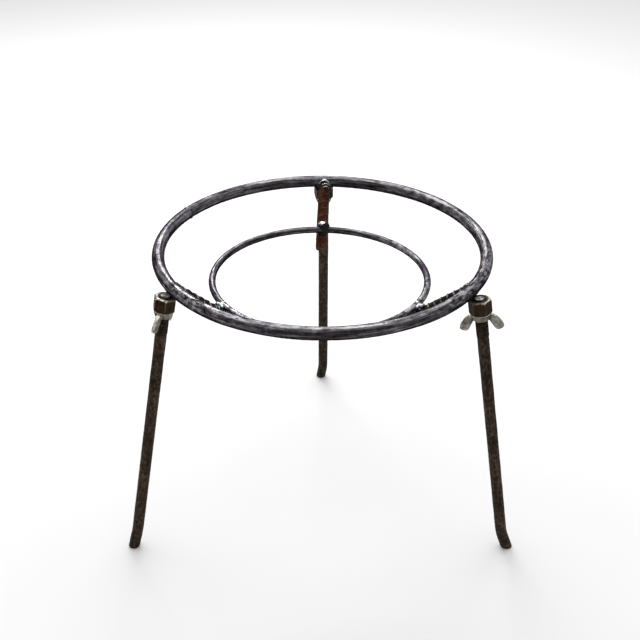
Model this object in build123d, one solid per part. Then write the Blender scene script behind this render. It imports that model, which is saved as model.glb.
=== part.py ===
from build123d import *
import math
import os

# Three-legged burner stand (trivet): a large round ring of steel bar for the pot, a
# smaller ring below it carried by three ribbed-bar spokes, and three screw-in legs.
# Each leg is a threaded rod in a hex nut welded under the big ring, locked by a wing
# nut that is turned up against the hex nut from below.
# Frame: millimetres, +Z up, origin on the ring axis at floor level. The legs stand at
# azimuth 90 (back, +Y), 210 (left) and 330 (right).

# ---------------------------------------------------------------- driving dimensions
ring_height = 287.0          # floor to the centre plane of the outer ring
ring_radius = 156.0          # outer ring, to the bar's centre
ring_bar = 12.0              # outer ring bar diameter
inner_drop = 32.3            # outer ring plane down to the inner ring plane
inner_radius = 104.2         # inner ring, to the bar's centre
inner_bar = 6.7              # inner ring bar diameter
inner_shift_x = -2.4         # the inner ring was welded in slightly off centre

spoke_core = 11.6            # ribbed bar, between the ribs
spoke_rib = 12.9             # ribbed bar, over the ribs
spoke_pitch = 8.0            # rib spacing
spoke_overhang = 18.5        # spoke length past the place where the inner ring rests

splay = 9.9                  # leg slope from the vertical, degrees
leg_radius_at_ref = 167.2    # leg axis distance from the ring axis at the height below
leg_ref_drop = 31.2
thread_diameter = 11.8       # M12 thread, over the crests
thread_pitch = 1.75
thread_length = 41.5         # from the rod's top end
shank_diameter = 11.0        # plain part of the leg: a rolled thread stands above it
rod_recess = 2.0             # the rod end stops this far under the ring bar's underside
foot_round = 1.2             # worn edge round the foot

nut_flats = 18.8             # M12 hex nut across flats, the older 19 mm size
nut_height = 13.8
nut_drop = 3.2               # top of the nut below the leg's origin, which touches the ring bar
nut_chamfer = 30.0           # degrees, corners turned off both ends
bore_diameter = 11.95        # running clearance round the thread

hub_top = 18.4               # wing nut: bearing face diameter
hub_end = 15.2               # wing nut: diameter at its free end
hub_height = 6.5
wing_thickness = 3.4
wing_gap = 0.05              # wing nut stands this far off the hex nut

butt_gap = 2.6               # gap between the ring bar's ends, filled by weld
butt_length = 5.4
butt_proud = 0.45

# azimuth; slope from the vertical, sideways lean and radial offset of the leg; turn of
# the hex nut and of the wing nut about the leg; the foot: length that is bent, extra
# slope and heading of that bend about the leg axis (-90 = outwards, 180 = along the
# ring, counter-clockwise from above); the spoke: sideways shift of its two ends and how
# far its outer end dips below the bar's centre; the weld lump on the inner ring: its
# centre outwards, upwards and sideways of the bar, and its radius
LEGS = {
    "back":  dict(az=90.0,  splay=9.9, lean=0.0,   shift=0.0,  nut=18.0, wing=88.0,
                  foot=(22.0, 9.5, 180.0), spoke=(-1.0, 1.9), dip=0.0, lump=(2.6, 2.8, -2.0, 6.0)),
    "left":  dict(az=210.0, splay=9.9, lean=-1.45, shift=-0.8, nut=20.0, wing=47.5,
                  foot=(29.0, 5.0, -90.0), spoke=(0.0, 0.0), dip=1.0, lump=(2.6, 0.2, 1.2, 5.6)),
    "right": dict(az=330.0, splay=8.9, lean=1.7,   shift=0.6,  nut=10.0, wing=68.0,
                  foot=(25.0, 12.0, -125.0), spoke=(0.0, 0.0), dip=0.0, lump=(4.2, 1.2, -2.0, 5.6)),
}

# ---------------------------------------------------------------- shared directions
cs, sn = math.cos(math.radians(splay)), math.sin(math.radians(splay))


def polar(r, az, z):
    a = math.radians(az)
    return Vector(r * math.cos(a), r * math.sin(a), z)


def along(az):
    """Unit vectors at an azimuth: outwards, and counter-clockwise along the ring."""
    a = math.radians(az)
    return Vector(math.cos(a), math.sin(a), 0), Vector(-math.sin(a), math.cos(a), 0)


# A leg's origin is where a full-length rod would touch the underside of the ring bar.
# Leg axis in the (r, z) plane: r = leg_radius_at_ref - tan(splay) * (z + leg_ref_drop)
slope = math.tan(math.radians(splay))


def face_gap(z0):
    r0 = leg_radius_at_ref - slope * (z0 + leg_ref_drop)
    return sn * (r0 - ring_radius) - cs * z0 - ring_bar / 2


low, high = -12.0, 0.0
for _ in range(60):
    mid = (low + high) / 2
    if face_gap(mid) > 0:
        low = mid
    else:
        high = mid
rod_top_z = low - 0.02
rod_top_r = leg_radius_at_ref - slope * (rod_top_z + leg_ref_drop)


def leg_plane(data):
    """Local frame of a leg: origin just under the ring bar, local z down the leg,
    local x along the ring (clockwise from above), local y inwards."""
    out, tang = along(data["az"])
    tilt = math.radians(data["splay"])
    down = out * math.sin(tilt) - Vector(0, 0, 1) * math.cos(tilt)
    down = (down + tang * math.sin(math.radians(data["lean"]))).normalized()
    return Plane(
        origin=polar(rod_top_r + data["shift"], data["az"], ring_height + rod_top_z),
        x_dir=(-tang - down * (-tang).dot(down)).normalized(),
        z_dir=down,
    )


# ---------------------------------------------------------------- rings
def bar_ring(radius, bar, centre, az, gap):
    """A bar bent round into a ring, with a small gap between its ends at az."""
    width = math.degrees(gap / radius)
    section = Plane.XZ * Pos(radius, 0) * Circle(bar / 2)
    ring = revolve(section, Axis.Z, 360 - width)
    start = [f for f in ring.faces() if f.geom_type == GeomType.PLANE]
    # turn the ring so that the middle of its gap stands at az
    centres = [math.degrees(math.atan2(f.center().Y, f.center().X)) % 360 for f in start]
    a, b = sorted(centres)
    gap_mid = (a + b) / 2 if abs((b - a) - width) < 0.5 * width else (a + b) / 2 + 180
    return Pos(*centre) * (Rot(0, 0, az - gap_mid) * ring)


def butt_weld(radius, bar, centre, az, ring):
    """Weld metal that fills the gap and stands a little proud round the bar."""
    half = math.degrees(butt_length / radius) / 2
    section = Plane.XZ * Pos(radius, 0) * Circle(bar / 2 + butt_proud)
    lump = revolve(section, Axis.Z, 2 * half)
    mid = math.degrees(math.atan2(lump.center().Y, lump.center().X))
    lump = Pos(*centre) * (Rot(0, 0, az - mid) * lump)
    lump = fillet(
        [e for e in lump.edges() if e.geom_type == GeomType.CIRCLE and abs(e.radius - bar / 2 - butt_proud) < 0.01],
        butt_proud * 0.9,
    )
    return lump - ring


outer_centre = (0, 0, ring_height)
inner_centre = (inner_shift_x, 0, ring_height - inner_drop)
outer_ring = bar_ring(ring_radius, ring_bar, outer_centre, 151.0, butt_gap)
inner_ring = bar_ring(inner_radius, inner_bar, inner_centre, 268.0, butt_gap)
outer_full = Pos(*outer_centre) * Torus(ring_radius, ring_bar / 2)
inner_full = Pos(*inner_centre) * Torus(inner_radius, inner_bar / 2)
parts = {
    "outer_ring": outer_ring,
    "inner_ring": inner_ring,
    "outer_ring_butt_weld": butt_weld(ring_radius, ring_bar, outer_centre, 151.0, outer_ring),
    "inner_ring_butt_weld": butt_weld(inner_radius, inner_bar, inner_centre, 268.0, inner_ring),
}


# ---------------------------------------------------------------- nuts and legs
def hex_nut(turn):
    body = extrude(RegularPolygon(nut_flats / 2, 6, major_radius=False), nut_height)
    corner = nut_flats / math.sqrt(3)
    drop = (corner - nut_flats / 2 * 0.95) * math.tan(math.radians(nut_chamfer))
    flat = nut_flats / 2 * 0.95
    profile = Plane.XZ * make_face(
        Polyline(
            (0, 0), (flat, 0), (corner + 0.01, drop), (corner + 0.01, nut_height - drop),
            (flat, nut_height), (0, nut_height), close=True,
        )
    )
    body = body & revolve(profile, Axis.Z)
    body -= Pos(0, 0, nut_height / 2) * Cylinder(bore_diameter / 2, nut_height + 2)
    mouth = 0.7
    for end, sign in ((0, 1), (nut_height, -1)):
        cone = Cone(
            bore_diameter / 2 + mouth + 0.2 if sign > 0 else bore_diameter / 2,
            bore_diameter / 2 if sign > 0 else bore_diameter / 2 + mouth + 0.2,
            mouth + 0.2,
        )
        body -= Pos(0, 0, end + sign * (mouth / 2 - 0.1)) * cone
    return Rot(0, 0, turn) * body


# half of the wing's outline: distance from the axis, distance below the bearing face
WING_OUTER = [(6.6, 0.8), (9.0, 1.0), (11.8, 2.2), (15.2, 5.0), (18.2, 8.9), (20.0, 12.4)]
WING_TIP = [(20.0, 12.4), (19.8, 14.6), (17.6, 16.4), (14.4, 16.9), (12.0, 15.4)]
WING_INNER = [(12.0, 15.4), (10.3, 12.4), (8.6, 9.4), (7.3, 7.0), (6.6, 5.6)]


def wing_nut(turn):
    hub_line = [(0, 0), (hub_top / 2 - 0.5, 0), (hub_top / 2, 0.5), (hub_top / 2 - 0.4, 2.2),
                (hub_end / 2, hub_height - 0.6), (hub_end / 2 - 0.6, hub_height), (0, hub_height)]
    body = revolve(Plane.XZ * make_face(Polyline(*hub_line, close=True)), Axis.Z)
    outline = [
        Spline(*WING_OUTER),
        Spline(*WING_TIP, tangents=((0.35, 1.0), (-0.55, -1.0))),
        Spline(*WING_INNER),
        Line(WING_INNER[-1], WING_OUTER[0]),
    ]
    wing = extrude(Plane.XZ * make_face(outline), wing_thickness / 2, both=True)
    body += wing
    body += Rot(0, 0, 180) * wing
    body -= Pos(0, 0, hub_height / 2) * Cylinder(bore_diameter / 2, 40)
    return Rot(0, 0, turn) * body


def leg(plane, foot):
    """Threaded top, plain shank and a foot that is bent a little near the floor."""
    bent, extra, heading = foot
    reach = plane.origin.Z / -plane.z_dir.Z         # along the axis, down to the floor
    start = reach - bent
    bend_radius = bent * 0.55 / math.radians(extra)
    phi = math.radians(extra)
    knee = Vector(0, 0, start)
    mid = Vector(bend_radius * (1 - math.cos(phi / 2)), 0, start + bend_radius * math.sin(phi / 2))
    end = Vector(bend_radius * (1 - math.cos(phi)), 0, start + bend_radius * math.sin(phi))
    tail = end + Vector(math.sin(phi), 0, math.cos(phi)) * (bent + 20)
    path = Line((0, 0, thread_length), knee) + ThreePointArc(knee, mid, end) + Line(end, tail)
    rod = sweep(Plane.XY.offset(thread_length) * Circle(shank_diameter / 2), path=path)
    rod = Rot(0, 0, heading) * rod
    top = Pos(0, 0, (rod_recess + thread_length) / 2) * Cylinder(
        thread_diameter / 2, thread_length - rod_recess
    )
    edge = top.edges().filter_by(GeomType.CIRCLE).sort_by(Axis.Z)[0]
    top = chamfer(edge, 0.9)
    body = plane.location * (top + rod)
    body -= Pos(0, 0, -50) * Box(800, 800, 100)
    sole = body.faces().sort_by(Axis.Z)[0]
    return chamfer(sole.edges(), foot_round)


nut_tools = {}
for name, leg_data in LEGS.items():
    frame = leg_plane(leg_data)
    nut = frame.location * Pos(0, 0, nut_drop) * hex_nut(leg_data["nut"])
    nut_tools[name] = frame
    parts[f"socket_nut_{name}"] = nut
    parts[f"wing_nut_{name}"] = (
        frame.location * Pos(0, 0, nut_drop + nut_height + wing_gap) * wing_nut(leg_data["wing"])
    )
    parts[f"leg_{name}"] = leg(frame, leg_data["foot"])


# ---------------------------------------------------------------- spokes
def spoke_line(az, dip):
    """Start, direction and resting distance of a spoke in world coordinates. It starts at
    the outer bar's centre and passes under the inner ring, which rests on its ribs."""
    out, _ = along(az)
    # where the inner ring's bar crosses this azimuth
    c, s = out.X, out.Y
    b = inner_shift_x * c
    r_in = b + math.sqrt(b * b - inner_shift_x**2 + inner_radius**2)
    dr, dz = ring_radius - r_in, inner_drop - dip
    dist = math.hypot(dr, dz)
    rest = inner_bar / 2 + spoke_rib / 2 + 0.02
    angle = math.atan2(dz, dr) + math.asin(rest / dist)
    to_rest = math.sqrt(dist**2 - rest**2)
    direction = -out * math.cos(angle) - Vector(0, 0, 1) * math.sin(angle)
    return polar(ring_radius, az, ring_height - dip), direction, to_rest, angle, r_in


def ribbed_bar(length):
    """Profile turned round local z: a core with raised ribs and a cropped end."""
    core, rib = spoke_core / 2, spoke_rib / 2
    pts = [(0, 0), (core, 0)]
    z = 11.0
    while z < length - 4:
        pts += [(core, z - 1.5), (rib, z - 0.6), (rib, z + 0.6), (core, z + 1.5)]
        z += spoke_pitch
    pts += [(core, length - 1.2), (core - 1.2, length), (0, length)]
    return revolve(Plane.XZ * make_face(Polyline(*pts, close=True)), Axis.Z)


for name, leg_data in LEGS.items():
    az = leg_data["az"]
    _, tang = along(az)
    start, direction, to_rest, angle, r_in = spoke_line(az, leg_data["dip"])
    shift_out, shift_in = leg_data["spoke"]
    length = to_rest + spoke_overhang
    direction = (direction + tang * ((shift_in - shift_out) / length)).normalized()
    start = start + tang * shift_out
    frame = Plane(origin=start, x_dir=(tang - direction * tang.dot(direction)).normalized(), z_dir=direction)
    bar = frame.location * ribbed_bar(to_rest + spoke_overhang)
    nut = parts[f"socket_nut_{name}"]
    nut_solid = nut_tools[name].location * Pos(0, 0, nut_drop) * (
        Rot(0, 0, leg_data["nut"])
        * extrude(RegularPolygon(nut_flats / 2, 6, major_radius=False), nut_height)
    )
    rod_room = nut_tools[name].location * Cylinder(thread_diameter / 2 + 0.4, 60)
    spoke = bar - outer_full - nut_solid - rod_room
    if len(spoke.solids()) > 1:
        spoke = Part() + spoke.solids().sort_by(SortBy.VOLUME)[-1]
    parts[f"spoke_{name}"] = spoke

    # weld collar where the spoke meets the outer bar
    collar = frame.location * Pos(0, 0, 6.2) * Cone(7.6, 6.3, 6.0)
    collar = collar - outer_full - bar - nut_solid - rod_room
    collar = Part() + collar.solids().sort_by(SortBy.VOLUME)[-1]
    parts[f"spoke_outer_weld_{name}"] = collar

    # weld lump that holds the inner ring down on the spoke
    out, _ = along(az)
    off_out, off_up, off_side, lump_radius = leg_data["lump"]
    spot = polar(r_in, az, ring_height - inner_drop) + out * off_out + Vector(0, 0, 1) * off_up
    spot = spot + tang * (shift_out + (shift_in - shift_out) * to_rest / length + off_side)
    lump = Pos(*spot) * Sphere(lump_radius) - inner_full - bar
    lump = Part() + lump.solids().sort_by(SortBy.VOLUME)[-1]
    parts[f"spoke_inner_weld_{name}"] = lump

    # weld run between the ring bar and the nut's top face and inner side
    foot_pt = polar(ring_radius - 0.5, az, ring_height - ring_bar / 2 - 2.2)
    run = Plane(origin=foot_pt, x_dir=out, z_dir=tang).location * Cylinder(5.2, 15.0)
    run = run - outer_full - nut_solid - bar - collar - rod_room
    parts[f"socket_weld_{name}"] = Part() + run.solids().sort_by(SortBy.VOLUME)[-1]

# ---------------------------------------------------------------- write the parts
os.makedirs("parts", exist_ok=True)
for name, shape in parts.items():
    export_step(shape, f"parts/{name}.step")
print("leg axis at the rod's top end: r %.4f z %.4f" % (rod_top_r, ring_height + rod_top_z))
for name, leg_data in LEGS.items():
    p = leg_plane(leg_data)
    print(name, "leg origin", [round(v, 4) for v in p.origin], "down", [round(v, 6) for v in p.z_dir])
    s = spoke_line(leg_data["az"], leg_data["dip"])
    print(name, "spoke angle %.2f rest %.2f r_in %.3f" % (math.degrees(s[3]), s[2], s[4]))
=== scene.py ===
# Looks of the burner tripod stand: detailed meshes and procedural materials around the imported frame.
# Geometry is worked out in millimetres in the row frame and stored in metres.
import bpy
import math
import numpy as np
from mathutils import Vector, Matrix


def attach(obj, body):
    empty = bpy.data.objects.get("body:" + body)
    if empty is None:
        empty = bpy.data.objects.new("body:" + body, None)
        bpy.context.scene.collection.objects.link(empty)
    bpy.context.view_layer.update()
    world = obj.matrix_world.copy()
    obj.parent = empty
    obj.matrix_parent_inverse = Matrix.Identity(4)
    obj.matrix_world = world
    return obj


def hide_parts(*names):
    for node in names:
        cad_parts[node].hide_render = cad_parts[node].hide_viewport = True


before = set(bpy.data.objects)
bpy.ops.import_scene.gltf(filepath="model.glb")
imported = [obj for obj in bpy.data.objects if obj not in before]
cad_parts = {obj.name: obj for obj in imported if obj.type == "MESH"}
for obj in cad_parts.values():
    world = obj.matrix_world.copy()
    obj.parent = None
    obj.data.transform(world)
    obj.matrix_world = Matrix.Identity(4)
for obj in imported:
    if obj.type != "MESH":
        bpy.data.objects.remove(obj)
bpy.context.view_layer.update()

# ---------------------------------------------------------------- dimensions, as in the CAD model (mm)
RING_Z, RING_R, RING_BAR = 287.0, 156.0, 6.0
INNER_Z, INNER_R, INNER_BAR, INNER_X = 254.7, 104.2, 3.35, -2.4
LEG = {
    "back": dict(az=90.0, splay=9.9, lean=0.0, shift=0.0, nut=18.0, wing=88.0, foot=(22.0, 9.5, 180.0), spoke=(-1.0, 1.9), dip=0.0, lump=(2.6, 2.8, -2.0)),
    "left": dict(az=210.0, splay=9.9, lean=-1.45, shift=-0.8, nut=20.0, wing=47.5, foot=(29.0, 5.0, -90.0), spoke=(0.0, 0.0), dip=1.0, lump=(2.6, 0.2, 1.2)),
    "right": dict(az=330.0, splay=8.9, lean=1.7, shift=0.6, nut=10.0, wing=68.0, foot=(25.0, 12.0, -125.0), spoke=(0.0, 0.0), dip=0.0, lump=(4.2, 1.2, -2.0)),
}
ROD_R0, ROD_Z0 = 162.6197, 282.044
PITCH, CREST, ROOT, SHANK = 1.75, 5.90, 4.98, 5.5
THREAD_END, ROD_TOP = 41.5, 2.0
NUT_AF, NUT_H, NUT_DROP, BORE = 18.8, 13.8, 3.2, 5.975
HUB_TOP, HUB_END, HUB_H, WING_T = 9.2, 7.6, 6.5, 3.4
WING_DROP = NUT_DROP + NUT_H + 0.05


def unit(v):
    v = np.asarray(v, float)
    return v / np.linalg.norm(v)


def axes(az):
    a = math.radians(az)
    return np.array([math.cos(a), math.sin(a), 0.0]), np.array([-math.sin(a), math.cos(a), 0.0])


def leg_frame(d):
    """Origin and local x, y, z of a leg. z runs down the leg, x clockwise along the ring, y inwards."""
    out, tang = axes(d["az"])
    t = math.radians(d["splay"])
    down = unit(out * math.sin(t) - np.array([0, 0, math.cos(t)]) + tang * math.sin(math.radians(d["lean"])))
    x = unit(-tang - down * np.dot(-tang, down))
    return out * (ROD_R0 + d["shift"]) + np.array([0, 0, ROD_Z0]), x, np.cross(down, x), down


def spoke_frame(d):
    """Start at the outer bar's centre, local axes, resting distance and the radius where the inner ring crosses."""
    out, tang = axes(d["az"])
    b = INNER_X * out[0]
    r_in = b + math.sqrt(b * b - INNER_X ** 2 + INNER_R ** 2)
    dr, dz = RING_R - r_in, RING_Z - INNER_Z - d["dip"]
    dist = math.hypot(dr, dz)
    rest = INNER_BAR + 6.45 + 0.02
    angle = math.atan2(dz, dr) + math.asin(rest / dist)
    to_rest = math.sqrt(dist ** 2 - rest ** 2)
    z = unit(-out * math.cos(angle) - np.array([0, 0, math.sin(angle)]))
    s0, s1 = d["spoke"]
    length = to_rest + 18.5
    z = unit(z + tang * ((s1 - s0) / length))
    x = unit(tang - z * np.dot(tang, z))
    return out * RING_R + np.array([0, 0, RING_Z - d["dip"]]) + tang * s0, x, np.cross(z, x), z, to_rest, length, r_in


# ---------------------------------------------------------------- small numeric tools
def waves(seed, count, shortest, longest):
    rng = np.random.default_rng(seed)
    k = rng.normal(size=(count, 3))
    k /= np.linalg.norm(k, axis=1)[:, None]
    wl = np.exp(rng.uniform(math.log(shortest), math.log(longest), count))
    amp = (wl / longest) ** 0.6
    return k * (2 * math.pi / wl)[:, None], rng.uniform(0, 2 * math.pi, count), amp / math.sqrt((amp ** 2).sum() / 2)


def lumps(P, w):
    """Smooth seeded noise of about unit size at points P (n, 3), in mm."""
    k, ph, amp = w
    flat = P.reshape(-1, 3)
    out = np.zeros(len(flat))
    for i in range(len(ph)):
        out += amp[i] * np.sin(flat @ k[i] + ph[i])
    return out.reshape(P.shape[:-1])


def smooth01(t):
    t = np.clip(t, 0, 1)
    return t * t * (3 - 2 * t)


# ---------------------------------------------------------------- mesh building
def make(name, verts, quads=None, tris=None, bar=None, corner_bar=None, values=None, sharp=32.0):
    """A mesh object from numpy arrays in mm. bar is a point's place on its own piece, along and across,
    in mm, for the materials; values are further numbers for them."""
    quads = np.zeros((0, 4), int) if quads is None else np.asarray(quads, int)
    tris = np.zeros((0, 3), int) if tris is None else np.asarray(tris, int)
    v = np.asarray(verts, float)
    vol = 0.0
    for a, b, c in ((0, 1, 2), (0, 2, 3)):
        if len(quads):
            vol += np.einsum("ij,ij->i", v[quads[:, a]], np.cross(v[quads[:, b]], v[quads[:, c]])).sum()
    if len(tris):
        vol += np.einsum("ij,ij->i", v[tris[:, 0]], np.cross(v[tris[:, 1]], v[tris[:, 2]])).sum()
    flip = vol < 0
    if flip:
        quads, tris = quads[:, ::-1], tris[:, ::-1]
    me = bpy.data.meshes.new(name)
    me.vertices.add(len(v))
    me.vertices.foreach_set("co", (v * 0.001).astype(np.float32).ravel())
    nl = quads.size + tris.size
    me.loops.add(nl)
    me.loops.foreach_set("vertex_index", np.concatenate([quads.ravel(), tris.ravel()]).astype(np.int32))
    me.polygons.add(len(quads) + len(tris))
    starts = np.concatenate([np.arange(len(quads)) * 4, quads.size + np.arange(len(tris)) * 3])
    me.polygons.foreach_set("loop_start", starts.astype(np.int32))
    me.update(calc_edges=True)
    me.validate()
    me.polygons.foreach_set("use_smooth", np.ones(len(me.polygons), bool))
    if sharp:
        me.set_sharp_from_angle(angle=math.radians(sharp))
    if corner_bar is not None:
        cb = corner_bar[:, ::-1] if flip else corner_bar          # (faces, corners, 3)
        a = me.attributes.new("bar", "FLOAT_VECTOR", "CORNER")
        a.data.foreach_set("vector", (cb.reshape(-1, 3) * 0.001).astype(np.float32).ravel())
    elif bar is not None:
        a = me.attributes.new("bar", "FLOAT_VECTOR", "POINT")
        a.data.foreach_set("vector", (np.asarray(bar, float).reshape(-1, 3) * 0.001).astype(np.float32).ravel())
    for key, arr in (values or {}).items():
        a = me.attributes.new(key, "FLOAT", "POINT")
        a.data.foreach_set("value", np.asarray(arr, np.float32).ravel())
    ob = bpy.data.objects.new(name, me)
    bpy.context.scene.collection.objects.link(ob)
    return ob


def strip_quads(rows, cols, wrap_rows=False, offset=0):
    i = np.arange(rows if wrap_rows else rows - 1)[:, None]
    j = np.arange(cols)[None, :]
    i2 = (i + 1) % rows
    j2 = (j + 1) % cols
    q = np.stack([i * cols + j, i * cols + j2, i2 * cols + j2, i2 * cols + j], -1)
    return q.reshape(-1, 4) + offset


def capped(P, first=True, last=True):
    """Quads and cap triangles of rows of points (rows, cols, 3) closed round; caps fan from a centre point."""
    rows, cols, _ = P.shape
    verts = P.reshape(-1, 3)
    quads = strip_quads(rows, cols)
    tris = []
    j = np.arange(cols)
    if first:
        verts = np.vstack([verts, P[0].mean(0)])
        tris.append(np.stack([np.full(cols, len(verts) - 1), (j + 1) % cols, j], -1))
    if last:
        verts = np.vstack([verts, P[-1].mean(0)])
        base = (rows - 1) * cols
        tris.append(np.stack([np.full(cols, len(verts) - 1), base + j, base + (j + 1) % cols], -1))
    return verts, quads, np.vstack(tris) if tris else None


def along_caps(arr, first=True, last=True):
    """Extends per-row values (rows, cols, ...) with the values of the cap centres."""
    out = [arr.reshape(-1, *arr.shape[2:])]
    if first:
        out.append(arr[0].mean(0, keepdims=True))
    if last:
        out.append(arr[-1].mean(0, keepdims=True))
    return np.concatenate(out, 0)


def remeshed(verts_faces, voxel, relax, name="tmp"):
    """Union of closed shapes, as points and quads of an even grid (in mm), smoothed relax times."""
    me = bpy.data.meshes.new(name)
    v = np.vstack([a for a, _ in verts_faces])
    faces, off = [], 0
    for a, f in verts_faces:
        faces += [[int(i) + off for i in face] for face in f]
        off += len(a)
    me.from_pydata((v * 0.001).tolist(), [], faces)
    ob = bpy.data.objects.new(name, me)
    bpy.context.scene.collection.objects.link(ob)
    m = ob.modifiers.new("r", "REMESH")
    m.mode = "VOXEL"
    m.voxel_size = voxel * 0.001
    m.adaptivity = 0.0
    if relax:
        s = ob.modifiers.new("s", "SMOOTH")
        s.factor = 0.5
        s.iterations = relax
    dg = bpy.context.evaluated_depsgraph_get()
    ev = ob.evaluated_get(dg)
    done = bpy.data.meshes.new_from_object(ev, preserve_all_data_layers=False, depsgraph=dg)
    co = np.zeros(len(done.vertices) * 3, np.float32)
    done.vertices.foreach_get("co", co)
    li = np.zeros(len(done.loops), np.int32)
    done.loops.foreach_get("vertex_index", li)
    tot = np.zeros(len(done.polygons), np.int32)
    done.polygons.foreach_get("loop_total", tot)
    start = np.zeros(len(done.polygons), np.int32)
    done.polygons.foreach_get("loop_start", start)
    no = np.zeros(len(done.vertices) * 3, np.float32)
    done.vertex_normals.foreach_get("vector", no)
    quads = np.array([li[s:s + 4] for s in start[tot == 4]]).reshape(-1, 4)
    tris = np.array([li[s:s + 3] for s in start[tot == 3]]).reshape(-1, 3)
    bpy.data.objects.remove(ob)
    bpy.data.meshes.remove(me)
    bpy.data.meshes.remove(done)
    return co.reshape(-1, 3) * 1000.0, no.reshape(-1, 3), quads, tris


def ellipsoid(centre, ax, ay, az, nu=20, nv=12):
    """Points and faces of an ellipsoid whose half-axes are the three given vectors."""
    u = np.linspace(0, 2 * math.pi, nu, endpoint=False)
    th = np.linspace(0, math.pi, nv + 1)[1:-1]
    P = (np.asarray(centre) + np.sin(th)[:, None, None] * (np.cos(u)[None, :, None] * np.asarray(ax) + np.sin(u)[None, :, None] * np.asarray(ay))
         + np.cos(th)[:, None, None] * np.asarray(az))
    v = np.vstack([P.reshape(-1, 3), np.asarray(centre) + np.asarray(az), np.asarray(centre) - np.asarray(az)])
    q = strip_quads(nv - 1, nu).tolist()
    top, bot = len(v) - 2, len(v) - 1
    base = (nv - 2) * nu
    q += [[top, (j + 1) % nu, j] for j in range(nu)]
    q += [[bot, base + j, base + (j + 1) % nu] for j in range(nu)]
    return v, [f[::-1] for f in q]


def revolved(line, n=96):
    """Closed shape turned round local z from a closed outline of (radius, z) pairs."""
    line = np.asarray(line, float)
    u = np.linspace(0, 2 * math.pi, n, endpoint=False)
    P = np.stack([line[:, 0][:, None] * np.cos(u), line[:, 0][:, None] * np.sin(u), np.repeat(line[:, 1][:, None], n, 1)], -1)
    return P.reshape(-1, 3), strip_quads(len(line), n, wrap_rows=True).tolist()


# ---------------------------------------------------------------- materials
class Tree:
    """Short hand for a material's node tree."""

    def __init__(self, name):
        self.mat = bpy.data.materials.new(name)
        self.mat.use_nodes = True
        self.nt = self.mat.node_tree
        self.nt.nodes.clear()
        self.out = self.nt.nodes.new("ShaderNodeOutputMaterial")
        self.bsdf = self.nt.nodes.new("ShaderNodeBsdfPrincipled")
        self.nt.links.new(self.bsdf.outputs[0], self.out.inputs[0])

    def put(self, socket, value):
        if isinstance(value, bpy.types.NodeSocket):
            self.nt.links.new(value, socket)
        else:
            socket.default_value = value

    def attr(self, name, out="Fac"):
        n = self.nt.nodes.new("ShaderNodeAttribute")
        n.attribute_name = name
        return n.outputs[out]

    def scaled(self, vec, xyz):
        n = self.nt.nodes.new("ShaderNodeVectorMath")
        n.operation = "MULTIPLY"
        self.put(n.inputs[0], vec)
        n.inputs[1].default_value = xyz
        return n.outputs[0]

    def moved(self, vec, xyz):
        n = self.nt.nodes.new("ShaderNodeVectorMath")
        n.operation = "ADD"
        self.put(n.inputs[0], vec)
        self.put(n.inputs[1], xyz)
        return n.outputs[0]

    def xyz(self, vec):
        n = self.nt.nodes.new("ShaderNodeSeparateXYZ")
        self.put(n.inputs[0], vec)
        return n.outputs

    def noise(self, vec, scale=1.0, detail=4.0, rough=0.55, distort=0.0, out=0):
        n = self.nt.nodes.new("ShaderNodeTexNoise")
        n.noise_dimensions = "3D"
        self.put(n.inputs["Vector"], vec)
        n.inputs["Scale"].default_value = scale
        n.inputs["Detail"].default_value = detail
        n.inputs["Roughness"].default_value = rough
        n.inputs["Distortion"].default_value = distort
        return n.outputs[out]

    def voronoi(self, vec, scale=1.0, feature="F1", out=0):
        n = self.nt.nodes.new("ShaderNodeTexVoronoi")
        n.feature = feature
        self.put(n.inputs["Vector"], vec)
        n.inputs["Scale"].default_value = scale
        return n.outputs[out]

    def math(self, op, a, b=0.0, clamp=False):
        n = self.nt.nodes.new("ShaderNodeMath")
        n.operation = op
        n.use_clamp = clamp
        self.put(n.inputs[0], a)
        self.put(n.inputs[1], b)
        return n.outputs[0]

    def remap(self, v, a, b, c=0.0, d=1.0):
        n = self.nt.nodes.new("ShaderNodeMapRange")
        n.interpolation_type = "SMOOTHSTEP"
        self.put(n.inputs[0], v)
        for k, x in zip((1, 2, 3, 4), (a, b, c, d)):
            n.inputs[k].default_value = x
        return n.outputs[0]

    def ramp(self, v, *stops):
        n = self.nt.nodes.new("ShaderNodeValToRGB")
        self.put(n.inputs[0], v)
        e = n.color_ramp.elements
        while len(e) < len(stops):
            e.new(0.5)
        for el, (p, c) in zip(e, stops):
            el.position = p
            el.color = (*c, 1.0)
        return n.outputs[0]

    def mix(self, fac, a, b):
        n = self.nt.nodes.new("ShaderNodeMix")
        n.data_type = "RGBA"
        self.put(n.inputs[0], fac)
        for s, v in ((n.inputs[6], a), (n.inputs[7], b)):
            self.put(s, (*v, 1.0) if isinstance(v, tuple) else v)
        return n.outputs[2]

    def bump(self, height, strength, distance, normal=None):
        n = self.nt.nodes.new("ShaderNodeBump")
        n.inputs["Strength"].default_value = strength
        n.inputs["Distance"].default_value = distance
        self.put(n.inputs["Height"], height)
        if normal is not None:
            self.put(n.inputs["Normal"], normal)
        return n.outputs[0]

    def finish(self, **sockets):
        for k, v in sockets.items():
            self.put(self.bsdf.inputs[k.replace("_", " ")], v)
        return self.mat


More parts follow.
